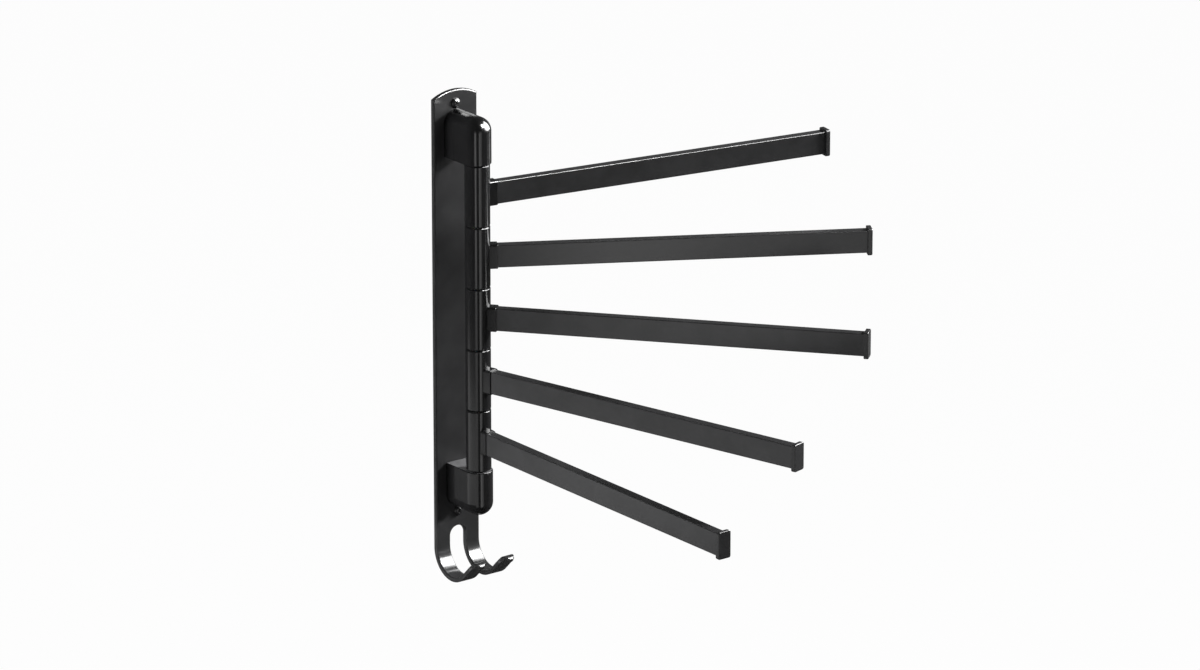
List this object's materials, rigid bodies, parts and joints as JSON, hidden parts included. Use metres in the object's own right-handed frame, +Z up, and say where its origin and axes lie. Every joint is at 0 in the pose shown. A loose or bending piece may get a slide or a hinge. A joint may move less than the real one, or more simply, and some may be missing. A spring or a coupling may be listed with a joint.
{
  "type": "swing arm towel bar",
  "caption": "Wall towel rack: a tall back plate with a twin J hook carries an upright pivot between two domed brackets, and flat bars with end caps swing on it like a fan.",
  "frame": {"origin": "on the wall plane, midway between the two wall screws", "axes": "+Z up, +Y into the wall along the wall screws, +X to the right seen from the room; the bars stand out towards -Y"},
  "size_m": [0.3595, 0.393, 0.4339],
  "materials": {
    "black_coat": "satin black coating over cast and rolled aluminium",
    "black_bar": "satin black coating over drawn aluminium tube",
    "black_cap": "satin black coating",
    "black_screw": "semi-gloss black oxide steel",
    "steel": "turned steel",
    "spring_steel": "plain spring steel",
    "nylon": "natural nylon"
  },
  "bodies": {
    "rack": {"back_plate": "black_coat", "top_bracket": "black_coat", "bottom_bracket": "black_coat", "bracket_screws": "black_screw", "pivot_rod": "steel", "friction_spring": "spring_steel", "thrust_washer": "steel", "wall_screws": "black_screw"},
    "arm_1": {"swivel_barrel_1": "black_coat", "pivot_bushes_1": "nylon", "bar_1": "black_bar", "end_cap_1": "black_cap", "set_screw_1": "black_screw"},
    "arm_2": {"swivel_barrel_2": "black_coat", "pivot_bushes_2": "nylon", "bar_2": "black_bar", "end_cap_2": "black_cap", "set_screw_2": "black_screw"},
    "arm_3": {"swivel_barrel_3": "black_coat", "pivot_bushes_3": "nylon", "bar_3": "black_bar", "end_cap_3": "black_cap", "set_screw_3": "black_screw"},
    "arm_4": {"swivel_barrel_4": "black_coat", "pivot_bushes_4": "nylon", "bar_4": "black_bar", "end_cap_4": "black_cap", "set_screw_4": "black_screw"},
    "arm_5": {"swivel_barrel_5": "black_coat", "pivot_bushes_5": "nylon", "bar_5": "black_bar", "end_cap_5": "black_cap", "set_screw_5": "black_screw"}
  },
  "joints": [
    {"name": "arm_1_swing", "type": "hinge", "parent": "rack", "child": "arm_1", "pos_m": [0, -0.0345, 0.11], "axis": [0, 0, -1], "range_deg": [-10, 170]},
    {"name": "arm_2_swing", "type": "hinge", "parent": "rack", "child": "arm_2", "pos_m": [0, -0.0345, 0.055], "axis": [0, 0, -1], "range_deg": [-30, 150]},
    {"name": "arm_3_swing", "type": "hinge", "parent": "rack", "child": "arm_3", "pos_m": [0, -0.0345, 0], "axis": [0, 0, -1], "range_deg": [-50, 130]},
    {"name": "arm_4_swing", "type": "hinge", "parent": "rack", "child": "arm_4", "pos_m": [0, -0.0345, -0.055], "axis": [0, 0, -1], "range_deg": [-75, 105]},
    {"name": "arm_5_swing", "type": "hinge", "parent": "rack", "child": "arm_5", "pos_m": [0, -0.0345, -0.11], "axis": [0, 0, -1], "range_deg": [-90, 90]}
  ]
}
